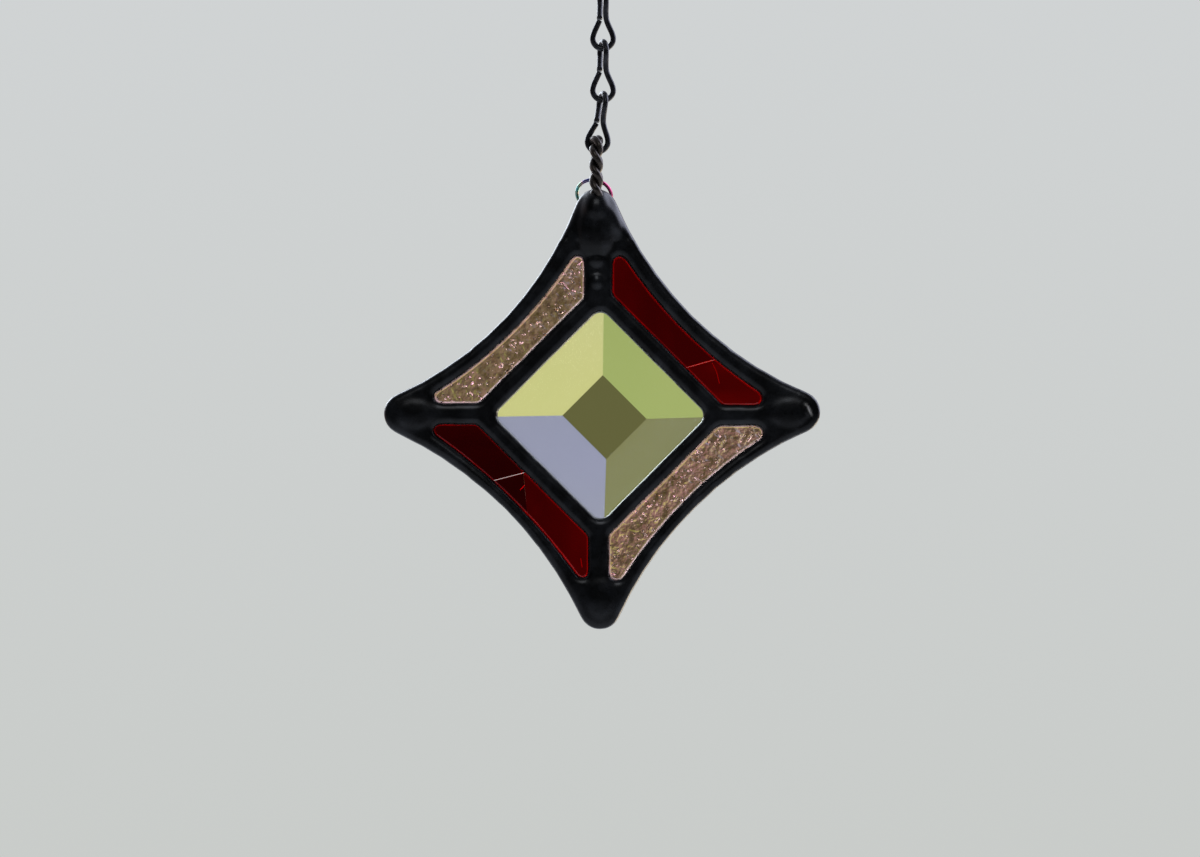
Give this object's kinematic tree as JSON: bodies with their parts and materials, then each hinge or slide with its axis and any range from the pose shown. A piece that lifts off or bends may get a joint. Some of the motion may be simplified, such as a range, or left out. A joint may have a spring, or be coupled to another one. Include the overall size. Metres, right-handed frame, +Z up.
{
  "type": "stained glass suncatcher",
  "caption": "Four-pointed hanging suncatcher of foiled and soldered glass: clear bevelled square, red and clear side strips, twisted wire hanger and a short link chain.",
  "frame": {"origin": "where a hook carries the chain: under the top of the upper link's upper eye", "axes": "+Z up, the front of the glass faces -Y, +X to the right seen from the front"},
  "size_m": [0.1023, 0.0117, 0.1506],
  "materials": {
    "black_patina_solder": "tin-lead solder over copper foil, black patina, waxed to a soft shine",
    "clear_bevel_glass": "clear polished bevelled glass",
    "seedy_clear_glass": "clear glass with seeds and a hammered face, copper foil showing through its edges",
    "ruby_glass": "smooth deep ruby red glass",
    "bronze_black_wire": "tinned copper wire with a thin brown-black patina",
    "heat_tinted_wire": "thin wire with iridescent heat tints",
    "black_chain_wire": "black coated steel wire, semi-gloss"
  },
  "bodies": {
    "root": {"solder_net": "black_patina_solder", "bevelled_square": "clear_bevel_glass", "clear_strip_upper_left": "seedy_clear_glass", "clear_strip_lower_right": "seedy_clear_glass", "red_strip_upper_right": "ruby_glass", "red_strip_lower_left": "ruby_glass", "twisted_hairpin": "bronze_black_wire", "thin_ring": "heat_tinted_wire", "upper_link": "black_chain_wire", "middle_link": "black_chain_wire", "lower_link": "black_chain_wire"}
  },
  "joints": []
}
